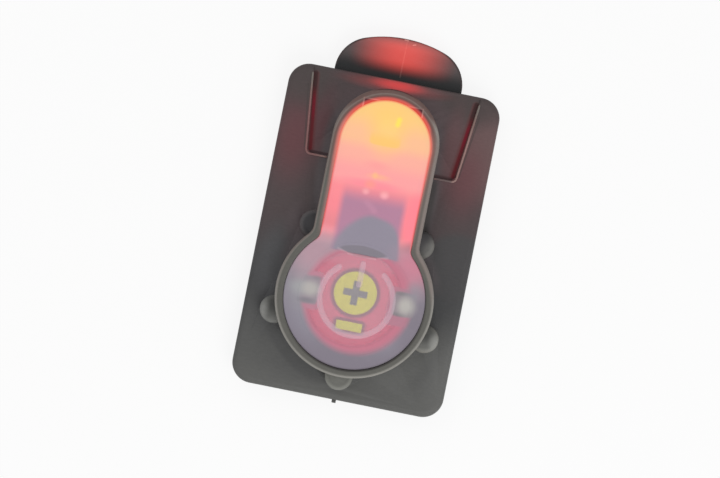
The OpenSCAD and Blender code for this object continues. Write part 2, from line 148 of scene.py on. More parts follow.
def fade(tree, value, low, high):
    # 0 at low and 1 at high, smoothly, either way up
    sockets = {"Value": value, "From Min": low, "From Max": high}
    return addNode(tree, "ShaderNodeMapRange", sockets, interpolation_type="SMOOTHSTEP").outputs[0]


def mixColour(tree, amount, below, above, blend="MIX"):
    sockets = {0: amount, 6: below, 7: above}
    return addNode(tree, "ShaderNodeMix", sockets, data_type="RGBA", blend_type=blend).outputs[2]


def seenPlainly(tree):
    # 1 where the camera looks at a surface straight, in a reflection or through glass
    path = addNode(tree, "ShaderNodeLightPath").outputs
    mirrorOrGlass = calc(tree, "MAXIMUM", path["Is Glossy Ray"], path["Is Transmission Ray"])
    return calc(tree, "MAXIMUM", path["Is Camera Ray"], mirrorOrGlass)


def newGroup(name, inputs, outputs):
    tree = bpy.data.node_groups.new(name, "ShaderNodeTree")
    for socketName, value in inputs.items():
        made = tree.interface.new_socket(socketName, in_out="INPUT", socket_type="NodeSocketFloat")
        made.default_value = value
    for socketName in outputs:
        tree.interface.new_socket(socketName, in_out="OUTPUT", socket_type="NodeSocketFloat")
    return tree, tree.nodes.new("NodeGroupInput").outputs, tree.nodes.new("NodeGroupOutput").inputs


def useGroup(tree, group, sockets=None):
    return addNode(tree, "ShaderNodeGroup", sockets, node_tree=group).outputs


def makeHeadPlane():
    # millimetres from the head's centre, seen from the front, and height
    tree, given, out = newGroup("headPlane", {}, ("X", "Y", "Z"))
    place = addNode(tree, "ShaderNodeTexCoord").outputs["Object"]
    axes = addNode(tree, "ShaderNodeSeparateXYZ", {0: place}).outputs
    feed(tree, out["X"], calc(tree, "MULTIPLY", axes[0], 1 / mm))
    feed(tree, out["Y"], calc(tree, "MULTIPLY_ADD", axes[1], 1 / mm, -headY / mm))
    feed(tree, out["Z"], calc(tree, "MULTIPLY", axes[2], 1 / mm))
    return tree


headPlane = makeHeadPlane()


def mirrored(tree, x, amount):
    # x itself, or its distance from the middle line where amount is 1
    change = calc(tree, "SUBTRACT", calc(tree, "ABSOLUTE", x), x)
    return calc(tree, "MULTIPLY_ADD", change, amount, x)


def makeSoftSpot():
    inputs = {"Centre X": 0, "Centre Y": 0, "Half Width": 1, "Half Height": 1,
              "Squareness": 2, "Softness": 0.2, "Mirror": 0}
    tree, given, out = newGroup("softSpot", inputs, ("Mask",))
    plane = useGroup(tree, headPlane)
    x = mirrored(tree, plane["X"], given["Mirror"])
    powers = []
    directions = ((x, "Centre X", "Half Width"), (plane["Y"], "Centre Y", "Half Height"))
    for value, centre, half in directions:
        gap = calc(tree, "ABSOLUTE", calc(tree, "SUBTRACT", value, given[centre]))
        share = calc(tree, "DIVIDE", gap, given[half])
        powers.append(calc(tree, "POWER", share, given["Squareness"]))
    reach = calc(tree, "ADD", *powers)
    reach = calc(tree, "POWER", reach, calc(tree, "DIVIDE", 1, given["Squareness"]))
    inner = calc(tree, "SUBTRACT", 1, given["Softness"])
    outer = calc(tree, "ADD", 1, given["Softness"])
    feed(tree, out["Mask"], fade(tree, reach, outer, inner))
    return tree


def dotOf(tree, a, b):
    # of two vectors, each a pair of values
    return calc(tree, "MULTIPLY_ADD", a[0], b[0], calc(tree, "MULTIPLY", a[1], b[1]))


def makeSoftStroke():
    inputs = {"Start X": 0, "Start Y": 0, "End X": 0, "End Y": 1,
              "Half Width": 0.2, "Softness": 0.2, "Mirror": 0}
    tree, given, out = newGroup("softStroke", inputs, ("Mask",))
    plane = useGroup(tree, headPlane)
    spot = (mirrored(tree, plane["X"], given["Mirror"]), plane["Y"])
    run = [calc(tree, "SUBTRACT", given["End " + axis], given["Start " + axis]) for axis in "XY"]
    gone = [calc(tree, "SUBTRACT", part, given["Start " + axis]) for part, axis in zip(spot, "XY")]
    square = dotOf(tree, run, run)
    share = calc(tree, "DIVIDE", dotOf(tree, gone, run), square)
    share = calc(tree, "MINIMUM", calc(tree, "MAXIMUM", share, 0), 1)
    away = [calc(tree, "SUBTRACT", part, calc(tree, "MULTIPLY", share, whole))
            for part, whole in zip(gone, run)]
    away = calc(tree, "SQRT", dotOf(tree, away, away))
    outer = calc(tree, "ADD", given["Half Width"], given["Softness"])
    feed(tree, out["Mask"], fade(tree, away, outer, given["Half Width"]))
    return tree


keyhole = {                     # the lens's outline, in mm from the head's centre
    "headRadius": 13.52,
    "stemRadius": 8.75,
    "neckRadius": 1.85,
    "reach": 29.5,              # how far up the middle of the stem's round end is
    "blend": 1.5,               # how softly head and stem meet in the painted bands
    "sideSteps": 12,
    "endSteps": 48,
    "neckSteps": 10,
    "headSteps": 120,
}


def makeKeyholeBand(p):
    # between two depths inside the keyhole outline of the lens; negative depths are outside it
    inputs = {"Head Radius": p["headRadius"], "Stem Radius": p["stemRadius"], "Reach": p["reach"],
              "From": 0, "Full From": 0.3, "Full To": 1, "To": 1.3}
    tree, given, out = newGroup("keyholeBand", inputs, ("Mask",))
    plane = useGroup(tree, headPlane)
    far = calc(tree, "MINIMUM", calc(tree, "MAXIMUM", plane["Y"], 0), given["Reach"])
    past = calc(tree, "SUBTRACT", plane["Y"], far)
    acrossSquare = calc(tree, "MULTIPLY", plane["X"], plane["X"])
    stemGap = calc(tree, "SQRT", calc(tree, "MULTIPLY_ADD", past, past, acrossSquare))
    headGap = calc(tree, "SQRT", calc(tree, "MULTIPLY_ADD", plane["Y"], plane["Y"], acrossSquare))
    stemDepth = calc(tree, "SUBTRACT", given["Stem Radius"], stemGap)
    headDepth = calc(tree, "SUBTRACT", given["Head Radius"], headGap)
    depth = calc(tree, "SMOOTH_MAX", stemDepth, headDepth, p["blend"])
    rise = fade(tree, depth, given["From"], given["Full From"])
    fall = fade(tree, depth, given["To"], given["Full To"])
    feed(tree, out["Mask"], calc(tree, "MULTIPLY", rise, fall))
    return tree


def makeGrain():
    # fine moulded surface, drawn out along one direction, and slow changes of tone
    inputs = {"Scale": 3000, "Streak": 1, "Turn": 0, "Patch Scale": 150}
    tree, given, out = newGroup("mouldedGrain", inputs, ("Height", "Tone"))
    place = addNode(tree, "ShaderNodeTexCoord").outputs["Object"]
    turn = addNode(tree, "ShaderNodeCombineXYZ", {2: given["Turn"]}).outputs[0]
    stretch = addNode(tree, "ShaderNodeCombineXYZ", {0: given["Streak"], 1: 1, 2: 1}).outputs[0]
    sockets = {"Vector": place, "Rotation": turn, "Scale": stretch}
    turned = addNode(tree, "ShaderNodeMapping", sockets)
    sockets = {"Vector": turned.outputs[0], "Scale": given["Scale"], "Detail": 3, "Roughness": 0.6}
    fine = addNode(tree, "ShaderNodeTexNoise", sockets)
    sockets = {"Vector": turned.outputs[0], "Scale": given["Patch Scale"], "Detail": 2}
    slow = addNode(tree, "ShaderNodeTexNoise", sockets)
    feed(tree, out["Height"], fine.outputs[0])
    feed(tree, out["Tone"], slow.outputs[0])
    return tree


shapes = {                      # and the first of its inputs that a layer's numbers fill
    "spot": (makeSoftSpot(), 0),
    "stroke": (makeSoftStroke(), 0),
    "band": (makeKeyholeBand(keyhole), 3),
}
mouldedGrain = makeGrain()


def maskOf(tree, kind, numbers):
    # numbers are in the order of the group's inputs, and any left out at the end keep the value
    # set there; for along and up they say where the mask is 0 and where it is 1
    if "*" in kind:     # several masks at once, multiplied
        masks = [maskOf(tree, one, some) for one, some in zip(kind.split("*"), numbers)]
        product = masks[0]
        for mask in masks[1:]:
            product = calc(tree, "MULTIPLY", product, mask)
        return product
    if kind in ("along", "up"):
        return fade(tree, useGroup(tree, headPlane)["Y" if kind == "along" else "Z"], *numbers)
    group, first = shapes[kind]
    return useGroup(tree, group, dict(enumerate(numbers, first)))["Mask"]


def paint(tree, below, layers):
    # each layer: kind of mask, its numbers, colour, strength
    for kind, numbers, colour, strength in layers:
        mask = maskOf(tree, kind, numbers)
        mask = mask if strength == 1 else calc(tree, "MULTIPLY", mask, strength)
        below = mixColour(tree, mask, below, tint(*colour))
    return below


def grainOn(tree, shader, p):
    # bump, and a small change of roughness, from the moulded grain
    change = 0.05           # of roughness, either way
    sockets = {"Scale": p["grain"], "Streak": p.get("streak", 1), "Turn": p.get("turn", 0)}
    grain = useGroup(tree, mouldedGrain, sockets)
    sockets = {"Height": grain["Height"], "Strength": p["bump"],
               "Distance": p.get("depth", 0.03) * mm}
    bump = addNode(tree, "ShaderNodeBump", sockets)
    feed(tree, shader.inputs["Normal"], bump.outputs[0])
    sockets = {"Value": grain["Tone"], "From Min": 0.3, "From Max": 0.7,
               "To Min": p["rough"] - change, "To Max": p["rough"] + change}
    rough = addNode(tree, "ShaderNodeMapRange", sockets)
    feed(tree, shader.inputs["Roughness"], rough.outputs[0])
    return grain


def toned(tree, grain, colour, p):
    # the colour, a little darker and lighter with the grain
    speckle = p["speckle"]
    patches = p.get("patches", 0.2)
    amount = calc(tree, "MULTIPLY_ADD", grain["Height"], 2 * speckle, -speckle)
    amount = calc(tree, "MULTIPLY_ADD", grain["Tone"], patches, amount)
    amount = calc(tree, "ADD", amount, 1 - patches / 2)
    return mixColour(tree, 1, colour, amount, "MULTIPLY")


def finish(name, p):
    # a painted, grained surface from one piece's dictionary
    made = bpy.data.materials.new(name)
    made.use_nodes = True
    tree = made.node_tree
    shader = tree.nodes["Principled BSDF"]
    for key, value in p.get("shader", {}).items():
        shader.inputs[key].default_value = value
    grain = grainOn(tree, shader, p)
    colour = paint(tree, tint(*p["colour"]), p.get("layers", []))
    feed(tree, shader.inputs["Base Color"], toned(tree, grain, colour, p))
    if p.get("glow"):
        feed(tree, shader.inputs["Emission Color"], paint(tree, (0, 0, 0, 1), p["glow"]))
        shader.inputs["Emission Strength"].default_value = p.get("glowStrength", 1)
    return made


# where a mask starts and where it is full, by height in mm
onTab = (4.6, 4.2)
onCard = (6.5, 5.5)
onCollar = (6, 7)
onTop = (8, 9)
onGrips = ((5.05, 5.3), (8.2, 7.6))
rubber = {
    "colour": (97, 97, 95),
    "grain": 2600,
    "streak": 0.35,
    "turn": 0.6,
    "bump": 0.35,
    "depth": 0.05,
    "rough": 0.66,
    "speckle": 0.12,
    "patches": 0.08,
    "shader": {"Specular IOR Level": 0.25},
    "layers": [
        # the flat of the card, painted darker upwards and lighter towards the bottom and lower
        # right as light and shade fall, with red light from the lamp inside painted where it shows
        # through the rubber
        ("along", (-19, -2.5), (72, 72, 73), 1),
        ("along", (2, 15), (81, 71, 72), 1),
        ("spot", (18, 9.6, 7, 6.2, 2, 0.18), (74, 73, 74), 0.9),
        ("spot", (19.5, 31.5, 5.4, 7.6, 2, 0.5), (109, 86, 86), 0.95),
        ("spot", (-17.2, 28.2, 3.8, 7.0, 2, 0.85), (104, 66, 70), 0.85),
        ("spot", (-12.4, 32.5, 1.9, 5.6, 2, 0.8), (98, 66, 70), 0.8),
        ("spot", (16.2, 26, 3.2, 5.6, 2, 0.9), (108, 70, 74), 0.8),
        ("spot", (-17.0, 39.5, 4.5, 5.0, 2, 0.6), (76, 69, 68), 0.75),
        ("spot", (14.5, 40.5, 6, 3.4, 2, 0.6), (78, 69, 68), 0.7),
        ("spot", (-16.4, 3.6, 2.8, 6.6, 2, 0.6), (86, 86, 88), 0.9),
        ("spot", (19.8, -11, 3.2, 8, 2, 0.8), (106, 106, 104), 0.8),
        ("spot", (-19.5, -10, 2.6, 6, 2, 0.8), (92, 92, 91), 0.6),
        ("spot", (-7.5, -14.6, 7, 2.6, 2, 0.8), (82, 82, 82), 0.6),
        # painted light and shade beside the collar: darker at its lower left and in a narrow shadow
        # at its foot beside the stem, lighter at its lower right and beside the head, reddish where
        # light from inside shows through
        ("band*up*along", ((-3.8, -2.0, -1.5, -1.4), onCard, (3, 7)), (90, 84, 86), 0.8),
        ("band*up*along", ((-6.5, -3.0, -1.5, -1.4), onCard, (32, 38)), (94, 80, 82), 0.75),
        ("band*up*spot", ((-4.5, -3.5, -1.8, -1.7), onCard, (-9, -11, 8, 6, 2, 0.4)),
         (78, 78, 78), 0.8),
        ("band*up*spot", ((-6.8, -4.0, -1.8, -1.7), onCard, (14, -12, 9, 9, 2, 0.4)),
         (99, 99, 97), 0.8),
        ("band*up*spot", ((-3.0, -2.1, -1.5, -1.4), onCard, (12, 19.5, 3, 5.5, 6, 0.25)),
         (64, 61, 60), 0.75),
        ("spot", (-13.8, 11.6, 1.7, 3.2, 2, 0.8), (94, 84, 87), 0.6),
        ("spot", (12.6, 32, 1.7, 6.0, 2, 0.8), (106, 78, 80), 0.8),
        # painted shade in the grooves beside the recess bead and along the recesses' lower edges,
        # deep red where light from inside shows through the thin rubber
        ("stroke", (15.5, 40.6, 13.7, 26.3, 0.2, 0.75, 1), (98, 44, 46), 0.6),
        ("stroke", (15.62, 40.6, 13.85, 26.3, 0.16, 0.34, 1), (94, 20, 28), 0.95),
        ("stroke*along", ((15.6, 40.8, 13.9, 26.3, 0.2, 0.4, 1), (36.4, 38.8)), (50, 36, 35), 0.85),
        ("stroke*along*along", ((15.55, 40.6, 13.8, 26.3, 0.12, 0.3, 1), (31, 33.5), (37, 35.6)),
         (118, 14, 36), 0.7),
        ("stroke", (16.6, 38.4, 14.98, 26.6, 0.05, 0.2, 1), (68, 62, 60), 0.55),
        ("stroke", (-13.7, 25.95, -10.4, 25.95, 0.1, 0.3), (60, 38, 42), 0.8),
        ("stroke", (13.7, 25.95, 10.4, 25.95, 0.1, 0.34), (74, 50, 52), 0.7),
        # the collar in the rubber's colour, with a painted highlight along its outer line, painted
        # shade where it meets the lens, red light from inside painted on its top towards the tab,
        # and a notch at its top painted as a shaded pocket with highlighted edges
        ("band*up", ((-2.6, -1.9, 0.3, 0.4), onCollar), (99, 98, 93), 1),
        ("band*up*along", ((-2.6, -1.9, 0.3, 0.4), onCollar, (20, 30)), (118, 92, 86), 0.9),
        ("band*up", ((-1.9, -1.6, -1.42, -0.95), onCollar), (163, 160, 154), 0.8),
        ("band*up*spot", ((-1.7, -1.4, -1.1, -0.55), onCollar, (12, 18, 4, 15, 6, 0.2)),
         (143, 132, 127), 0.88),
        ("band*up*spot", ((-2.6, -1.9, -1.4, -1.05), onCollar, (-13, 24, 9, 22, 2, 0.4)),
         (120, 106, 101), 0.8),
        ("band*up*along", ((-2.1, -1.7, -1.4, -1.05), onCollar, (34, 37)), (108, 84, 79), 0.95),
        ("band*up*spot", ((-0.5, -0.2, 0.4, 0.5), onCollar, (5, -14, 14, 14, 2, 0.75)),
         (60, 57, 56), 0.9),
        ("band*up*along", ((-0.95, -0.6, 0.3, 0.4), onCollar, (32, 35.5)), (92, 52, 54), 0.7),
        ("band*up*spot", ((-2.7, -2.5, -2.05, -1.85), onCollar, (0, 40.3, 4.6, 1.5, 2, 0.4)),
         (74, 22, 30), 0.9),
        ("spot*up", ((0.1, 36.5, 5.6, 1.3, 9, 0.03), onCollar), (70, 32, 40), 1),
        ("stroke*up", ((-5.6, 37.8, 5.8, 37.75, 0.04, 0.16), onCollar), (136, 106, 102), 0.9),
        ("stroke*up", ((-5.6, 37.75, -5.6, 35.6, 0.05, 0.16), onCollar), (146, 116, 110), 1),
        ("stroke*up", ((5.8, 37.7, 5.8, 35.6, 0.05, 0.16), onCollar), (146, 116, 110), 1),
        # the pull tab: a painted shadow where the card's edge stands over it, painted shade that
        # lightens towards its tip, a painted highlight along the knit line and two painted glints
        # at its top
        ("up*along", (onTab, (42.2, 42.4)), (38, 39, 40), 1),
        ("up*along", (onTab, (43.4, 46.9)), (88, 80, 80), 1),
        ("up*along", (onTab, (47.2, 50.2)), (108, 96, 95), 1),
        ("spot*up*along", ((0, 42.3, 12.05, 7.95, 2.35, -0.02), onTab, (42.6, 43.5)),
         (62, 52, 52), 0.85),
        ("stroke", (0.26, 43.1, 0.32, 50.2, 0.03, 0.17), (190, 156, 148), 0.16),
        ("stroke", (-0.2, 50.3, 0.5, 50.28, 0.03, 0.14), (250, 200, 190), 0.45),
        ("stroke", (1.5, 49.6, 2.0, 49.75, 0.03, 0.12), (250, 200, 190), 0.4),
    ],
    "glow": [
        ("spot*up*along", ((-0.4, 41.2, 7.4, 1.1, 2, 0.8), (7, 5.4), (42.5, 42.0)),
         (106, 30, 28), 1),
        ("spot*up*along", ((0.2, 41.42, 3.6, 0.8, 2, 0.85), (7, 5.4), (42.5, 42.0)),
         (192, 38, 36), 1),
        ("spot*along*along*spot", ((0.1, 48.0, 5.9, 5.7, 2, 0.9), (43.0, 46.1), (51.5, 48.6),
                                   (0, 42.3, 12.1, 8.1, 2.35, 0.02)), (208, 44, 30), 1),
        ("band*along*up", ((-0.85, 0.0, 0.5, 0.6), (10, 15), onTop), (116, 66, 64), 1),
        ("band*along*up", ((-0.85, 0.0, 0.5, 0.6), (18, 29), onTop), (194, 84, 72), 1),
        ("band*along*up", ((-0.78, 0.05, 0.5, 0.6), (32, 35.5), onTop), (206, 58, 40), 1),
        ("band*up*spot", ((-1.2, -0.95, -0.4, -0.1), onTop, (10, 20, 2.4, 15, 6, 0.1)),
         (34, 12, 12), 0.7),
    ],
}
grips = {                       # the five round bumps on the collar's foot, with a painted highlight on each rim and painted light and shade in each middle, the fourth in the collar's painted shadow
    "angles": (-90, -18.6, 50.2, 129.8, 198.6),
    "radii": (15.0, 15.4, 16.15, 16.15, 15.4),
    "size": 2.7,
    "rimWidth": 0.5,
    # rim and middle: painted highlight and painted light and shade of each bump
    "rim": ((136, 136, 130), (140, 138, 132), (120, 118, 114), (90, 86, 87),
            (124, 124, 121)),
    "middle": ((112, 112, 107), (126, 126, 122), (112, 111, 108), (60, 59, 61),
               (112, 112, 109)),
}
for angle, radius, rimHighlight, middleShading in zip(
        grips["angles"], grips["radii"], grips["rim"], grips["middle"]):
    spot = (radius * math.cos(math.radians(angle)), radius * math.sin(math.radians(angle)))
    size = grips["size"]
    inner = size - grips["rimWidth"]
    rubber["layers"] += [
        ("spot*up*up", ((*spot, size, size, 2, 0.08), *onGrips), rimHighlight, 1),
        ("spot*up*up", ((*spot, inner, inner, 2, 0.2), *onGrips), middleShading, 1),
    ]
# painted shade on three bumps next to the collar, and painted highlights on the outer rims of the
# two side bumps
rubber["layers"] += [
    ("spot*up*up", ((10.6, 14.3, 1.9, 1.3, 2, 0.7), *onGrips), (62, 60, 62), 0.9),
    ("spot*up*up", ((10.0, 12.8, 1.4, 2.0, 2, 0.7), *onGrips), (70, 68, 70), 0.9),
    ("spot*up*up", ((-14.9, -4.1, 1.9, 1.9, 2, 0.8), *onGrips), (68, 68, 66), 0.95),
    ("spot*up*up", ((-16.8, -5.4, 0.9, 1.9, 2, 0.8), *onGrips), (148, 148, 145), 0.6),
    ("spot*up*up", ((14.4, -4.0, 2.1, 2.0, 2, 0.8), *onGrips), (70, 70, 68), 0.95),
    ("spot*up*up", ((16.6, -5.3, 0.9, 1.4, 2, 0.8), *onGrips), (160, 160, 156), 0.65),
]
carrierRubber = finish("carrierRubber", rubber)
print("stage: rubber finish")

# spots that several layers of the lens share
discSpot = (0.6, -0.1, 10.2, 10.15, 2, 0.09)    # the red disc under the pad
padSpot = (0.0, 0, 8.8, 8.8, 2, 0.06)
leftNotch = (-9.4, 0.1, 2.95, 3.6, 9, 0.08)
rightNotch = (9.5, 0.1, 3.05, 3.6, 9, 0.08)
blockSpot = (0.0, 9.6, 6.05, 20, 9, 0.14)       # the frame's block in the stem
# a painted shadow in the slot above the disc's flat, and its lower part
shadowCrescent = (1.5, 9.2, 4.8, 6.5, 2.7, 0.1)
shadowCrescentFoot = (0.3, 9.0, 6.3, 7.0, 1.6, 0.12)
belowFlat = (8.65, 8.35)                        # along: below the flat at the disc's top
silicone = {
    "wallOut": -0.03,           # each "Out" is how far outside the keyhole outline
    "edgeRadius": 0.24,
    "edgeSteps": 8,
    "cavityOut": -1.0,
    "flangeOut": 0.5,
    "flangeTop": 8.75,
    "roof": 8.85,
    "padRadius": 10.69,
    "padHole": 10.7,
    "padFlex": 0.65,
    "padCore": 10.05,
    "colour": (165, 161, 169),
    "grain": 1500,
    "bump": 0.12,
    "depth": 0.02,
    "rough": 0.34,
    "speckle": 0.02,
    "patches": 0.04,
    "shader": {"Specular IOR Level": 0.35, "IOR": 1.41},
    "layers": [
        ("along", (-0.5, -6), (152, 147, 159), 1),
        ("along", (-6, -12), (138, 131, 142), 1),
        # painted shade along the lens's lower and right edges, and a painted shadow of the collar's
        # lip at its lower right
        ("band*along", ((-0.4, -0.3, 0.1, 3.2), (8, 4)), (140, 132, 145), 0.5),
        ("spot", (13.5, -4, 4.5, 9, 2, 0.5), (140, 132, 144), 0.9),
        ("band*spot", ((-0.5, -0.4, 0.0, 0.5), (4, -14, 15, 12, 2, 0.5)), (92, 84, 92), 0.7),
        ("spot", (-9.0, 7.4, 4.4, 4.6, 2, 0.8), (194, 160, 172), 1),
        ("spot", (9.2, 7.4, 4.0, 4.0, 2, 0.8), (210, 142, 160), 1),
        ("along", (9.5, 13.5), (110, 85, 88), 1),
        ("spot*along*along", (blockSpot, (8.3, 8.7), (21.9, 17.8)), (157, 141, 164), 1),
        ("spot", shadowCrescent, (157, 150, 165), 1),
        ("spot*along", (shadowCrescentFoot, (8.3, 8.7)), (157, 150, 165), 1),
        ("spot*along", (discSpot, (8.85, 8.45)), (208, 130, 149), 1),
        ("spot*along", (padSpot, belowFlat), (207, 174, 188), 1),
        ("spot*along*along", (padSpot, belowFlat, (5.2, 7.0)), (212, 194, 206), 1),
        ("spot*along", ((0.2, 0, 7.4, 7.4, 2, 0.05), belowFlat), (206, 195, 207), 1),
        ("spot", (-0.1, 9.1, 4.4, 1.05, 1.6, 0.1), (142, 136, 146), 1),
        ("stroke", (-4.9, 8.85, -2.6, 8.22, 0.02, 0.32), (214, 182, 190), 0.35),
        ("stroke", (-2.6, 8.22, 2.2, 8.16, 0.02, 0.34), (214, 182, 190), 0.6),
        ("stroke", (2.2, 8.16, 4.7, 8.74, 0.02, 0.32), (214, 182, 190), 0.35),
        ("spot*spot", (leftNotch, discSpot), (198, 143, 160), 1),
        ("spot*spot", (rightNotch, discSpot), (194, 138, 155), 1),
        ("spot", (-8.5, 0.1, 1.7, 2.65, 6, 0.14), (164, 157, 165), 0.9),
        ("spot", (9.5, 0.75, 2.15, 2.3, 6, 0.12), (156, 150, 156), 0.9),
        # painted shade above and below the contacts
        ("spot", (-7.6, 2.55, 0.9, 0.35, 2, 0.8), (150, 140, 148), 0.5),
        ("spot", (-8.9, -2.0, 1.5, 0.5, 2, 0.8), (138, 134, 142), 0.7),
        ("spot", (8.7, 2.7, 1.2, 0.35, 2, 0.8), (130, 132, 134), 0.6),
        ("spot", (8.7, -1.3, 1.2, 0.35, 2, 0.8), (130, 132, 134), 0.6),
        ("spot", (-10.2, 0.3, 1.9, 1.2, 2, 0.8), (176, 176, 178), 0.8),
        ("spot", (-8.4, 0.35, 1.5, 1.2, 2, 0.7), (194, 189, 186), 1),
        ("spot", (11.0, 3.2, 1.5, 1.7, 2, 0.8), (160, 154, 164), 0.7),
        ("spot", (11.0, 0.3, 1.0, 1.0, 2, 0.8), (168, 162, 166), 0.7),
        ("spot", (9.75, 0.55, 1.3, 1.5, 2, 0.7), (198, 194, 189), 1),
    ],
    "glow": [
        ("along", (8.8, 12.6), (217, 116, 124), 1),
        ("along", (13, 17), (236, 119, 129), 1),
        ("along", (17, 20), (238, 124, 132), 1),
        ("along", (20.2, 22.8), (238, 148, 146), 1),
        ("along", (23.5, 27.5), (238, 164, 142), 1),
        ("along", (27.5, 30.5), (238, 181, 130), 1),
        ("along", (31, 36), (238, 194, 104), 1),
        ("spot", (0, 33, 3.4, 4.6, 2, 0.6), (244, 198, 84), 0.6),
        ("spot*along", ((-0.15, 30.75, 2.9, 1.3, 5, 0.12), (32.4, 30.2)), (250, 190, 62), 0.6),
        ("stroke", (1.75, 34.9, 1.62, 33.95, 0.03, 0.8), (255, 224, 24), 0.75),
        ("spot", (-0.8, 25.6, 1.8, 0.7, 2, 0.9), (238, 142, 140), 0.6),
        ("spot", (-1.0, 21.9, 4.8, 0.7, 3, 0.7), (246, 112, 138), 0.5),
        ("spot", (8.2, 16.4, 2.0, 4.6, 2, 0.5), (246, 116, 130), 1),
        ("spot*along*along", (blockSpot, (8.3, 8.8), (21.9, 17.8)), (118, 6, 38), 1),
        ("spot", shadowCrescent, (0, 0, 0), 1),
        ("spot", shadowCrescentFoot, (0, 0, 0), 1),
        ("spot", (14, 9.9, 8.5, 3.1, 2, 0.3), (70, 16, 24), 0.8),
        ("spot", (-7.5, 10.1, 2.6, 1.1, 2, 0.8), (70, 40, 44), 0.35),
        ("spot", (-1.3, 21.9, 0.9, 0.7, 2, 0.9), (244, 142, 118), 0.7),
        ("spot", (-1.85, 20.45, 0.55, 0.5, 2, 0.9), (230, 146, 146), 0.9),
        ("spot", (1.75, 20.4, 0.68, 0.62, 2, 0.9), (236, 150, 150), 0.95),
        ("spot", (0.0, 23.55, 1.7, 0.45, 2, 0.9), (244, 170, 122), 0.7),
        ("spot", (-0.7, 23.7, 0.45, 0.5, 2, 0.9), (244, 180, 112), 0.75),
        ("stroke", (-1.3, 18.5, 0.4, 17.1, 0.05, 0.95), (150, 66, 80), 0.45),
        ("band*along", ((-0.3, -0.1, 0.05, 0.5), (9, 13)), (222, 84, 76), 0.7),
        ("band*along*along", ((-0.3, -0.1, 0.0, 0.4), (12, 14), (22, 18)), (190, 70, 70), 0.55),
    ],
    "cover": [                  # how much each place hides what is under it
        ("spot*along", ((0, 0, 9.0, 9.0, 2, 0.06), (8.7, 8.3)), 0.40),
        ("spot", leftNotch, 0.94),
        ("spot", rightNotch, 0.94),
        ("stroke", (-2.8, 8.22, 2.4, 8.16, 0.02, 0.3), 0.7),
    ],
    "coverBase": 0.97,
}


def milkySilicone(name, p):
    made = finish(name, p)
    tree = made.node_tree
    shader = tree.nodes["Principled BSDF"]
    alpha = p["coverBase"]
    for kind, numbers, hide in p["cover"]:
        mask = maskOf(tree, kind, numbers)
        sockets = {0: mask, 2: alpha, 3: hide}
        alpha = addNode(tree, "ShaderNodeMix", sockets, data_type="FLOAT").outputs[0]
    front = calc(tree, "SUBTRACT", 1, addNode(tree, "ShaderNodeNewGeometry").outputs["Backfacing"])
    feed(tree, shader.inputs["Alpha"], calc(tree, "MULTIPLY", alpha, front))
    return made


def keyholeOutline(grow):
    # points round the keyhole, anticlockwise, grown outward by grow
    reach = keyhole["reach"]
    head = keyhole["headRadius"] + grow
    stem = keyhole["stemRadius"] + grow
    neck = keyhole["neckRadius"] - grow
    neckX = stem + neck
    neckY = math.sqrt((head + neck) ** 2 - neckX ** 2)
    lean = math.atan2(neckY, neckX)
    points = []

    def arc(x, y, radius, start, end, steps):
        for i in range(steps):
            a = start + (end - start) * i / steps
            points.append((x + radius * math.cos(a), y + radius * math.sin(a)))

    def side(x, start, end, steps):
        points.extend([(x, start + (end - start) * i / steps) for i in range(steps)])

    side(stem, neckY, reach, keyhole["sideSteps"])
    arc(0, reach, stem, 0, math.pi, keyhole["endSteps"])
    side(-stem, reach, neckY, keyhole["sideSteps"])
    arc(-neckX, neckY, neck, 0, -lean, keyhole["neckSteps"])
    arc(0, 0, head, math.pi - lean, 2 * math.pi + lean, keyhole["headSteps"])
    arc(neckX, neckY, neck, math.pi + lean, math.pi, keyhole["neckSteps"])
    return points


roundSteps = 144                # points round the pad and the seal


def circle(radius, steps):
    angles = [2 * math.pi * i / steps for i in range(steps)]
    return [(radius * math.cos(a), radius * math.sin(a)) for a in angles]


def circleLike(points, radius):
    # the points moved straight towards the head's centre, onto a circle
    return [(x * radius / math.hypot(x, y), y * radius / math.hypot(x, y)) for x, y in points]


def joinRows(bm, rows, capped, materialIndex=0):
    # faces between the rows: closed by caps, or else from the last row back to the first
    faces = []
    for low, high in list(zip(rows, rows[1:])) + ([] if capped else [(rows[-1], rows[0])]):
        for i in range(len(low)):
            j = (i + 1) % len(low)
            faces.append(bm.faces.new((low[i], low[j], high[j], high[i])))
    if capped:
        faces += [bm.faces.new(rows[0]), bm.faces.new(rows[-1])]
    for face in faces:
        face.material_index = materialIndex


def loft(bm, loops, capped=False):
    rows = []
    for points, z in loops:
        rows.append([bm.verts.new((x * mm, headY + y * mm, z * mm)) for x, y in points])
    joinRows(bm, rows, capped)


def sideways(path, i):
    # the direction square to the path at its point i
    ax, ay = path[max(i - 1, 0)]
    bx, by = path[min(i + 1, len(path) - 1)]
    length = math.hypot(bx - ax, by - ay)
    return (by - ay) / length, -(bx - ax) / length


def evenNormals(made):
    # flat parts stay flat beside small roundings
    made.modifiers.new("evenNormals", "WEIGHTED_NORMAL").keep_sharp = True
    seen = made.evaluated_get(bpy.context.evaluated_depsgraph_get())
    mesh = bpy.data.meshes.new_from_object(seen)
    made.modifiers.clear()
    made.data = mesh


def newPiece(name, bm, materials, body, stands, sharp=35):
    # edges that turn by more than sharp, in degrees, stay sharp
    bmesh.ops.recalc_face_normals(bm, faces=bm.faces)
    mesh = bpy.data.meshes.new(name)
    bm.to_mesh(mesh)
    bm.free()
    for material in materials:
        mesh.materials.append(material)
    mesh.shade_smooth()
    mesh.set_sharp_from_angle(angle=math.radians(sharp))
    made = newObject(name, mesh)
    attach(made, body)
    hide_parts(*stands)
    return made


